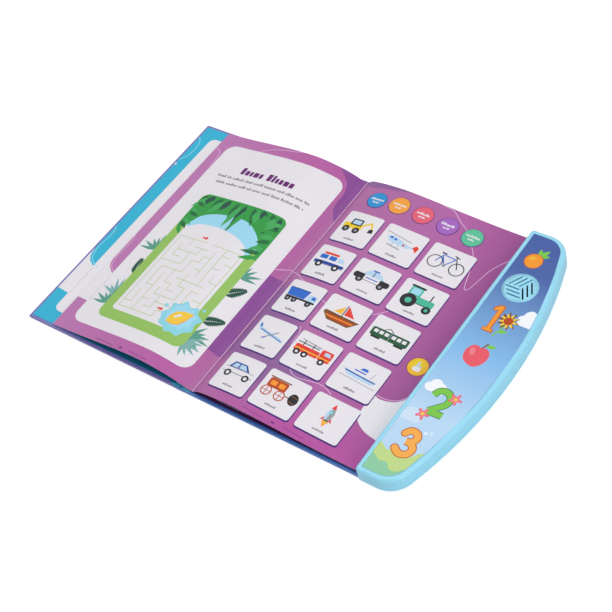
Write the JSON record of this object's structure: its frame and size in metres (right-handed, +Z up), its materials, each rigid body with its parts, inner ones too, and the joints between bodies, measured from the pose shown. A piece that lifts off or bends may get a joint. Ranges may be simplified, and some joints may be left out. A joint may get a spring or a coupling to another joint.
{
  "type": "sound book",
  "caption": "Open children's hardcover sound book with printed pages, a turned leaf and a plastic speaker housing fixed along the back cover's edge.",
  "frame": {"origin": "on the underside of the back cover, under the gutter between the two open pages, half way up the page", "axes": "+X across the open book towards the sound housing, +Y up the page, +Z up from the table"},
  "size_m": [0.4495, 0.288, 0.0165],
  "materials": {
    "back_cover_paper": "blue printed and laminated paper over grey board",
    "front_cover_paper": "periwinkle printed and laminated paper over grey board",
    "teal_paper": "teal printed endpaper with a white panel, satin",
    "page_paper": "purple printed coated paper with white panels, satin",
    "sensor_film": "polyester film, matt",
    "housing_plastic": "light blue moulded plastic, satin gloss",
    "overlay_film": "printed film, indigo to pale blue with green hills, satin",
    "steel": "bright zinc or nickel plated steel",
    "dark_plastic": "black moulded plastic, matt",
    "speaker_cone": "black pressed paper cone, matt",
    "foam": "dark grey foam",
    "cell_jacket": "dark printed jacket, satin, with bright steel ends",
    "circuit_laminate": "green solder mask",
    "black_insulation": "black soft insulation",
    "red_insulation": "red soft insulation"
  },
  "bodies": {
    "base": {"back_cover_board": "back_cover_paper", "touch_sensor_sheet": "sensor_film", "page_block": "page_paper", "housing_upper": "housing_plastic", "housing_base": "housing_plastic", "printed_overlay": "overlay_film", "battery_door": "housing_plastic", "battery_door_screw": "steel", "housing_screw_1": "steel", "housing_screw_2": "steel", "housing_screw_3": "steel", "housing_screw_4": "steel", "housing_screw_5": "steel", "housing_screw_6": "steel", "cover_screw_1": "steel", "cover_screw_2": "steel", "cover_screw_3": "steel", "cover_screw_4": "steel", "speaker_frame": "dark_plastic", "speaker_cone": "speaker_cone", "speaker_gasket": "foam", "speaker_magnet": "steel", "battery_cell_1": "cell_jacket", "battery_cell_2": "cell_jacket", "battery_cell_3": "cell_jacket", "contact_spring_1": "steel", "contact_spring_2": "steel", "contact_spring_3": "steel", "contact_plate_negative": "steel", "contact_plate_link_1": "steel", "contact_plate_link_2": "steel", "contact_plate_positive": "steel", "circuit_board": "circuit_laminate", "voice_chip": "dark_plastic", "capacitor": "dark_plastic", "resonator": "steel", "sheet_connector": "dark_plastic", "battery_lead_black": "black_insulation", "battery_lead_red": "red_insulation", "speaker_lead_1": "black_insulation", "speaker_lead_2": "red_insulation"},
    "spine": {"spine_board": "back_cover_paper"},
    "front_cover": {"front_cover_board": "front_cover_paper", "front_endpaper": "teal_paper", "turned_leaf": "page_paper"}
  },
  "joints": [
    {"name": "spine_hinge", "type": "hinge", "parent": "base", "child": "spine", "pos_m": [-0.0085, 0, 0.0025], "axis": [0, 1, 0], "range_deg": [0, 90], "deforming": ["turned_leaf"]},
    {"name": "front_cover_hinge", "type": "hinge", "parent": "spine", "child": "front_cover", "pos_m": [-0.0205, 0, 0.0025], "axis": [0, 1, 0], "range_deg": [0, 90], "deforming": ["turned_leaf"]}
  ]
}
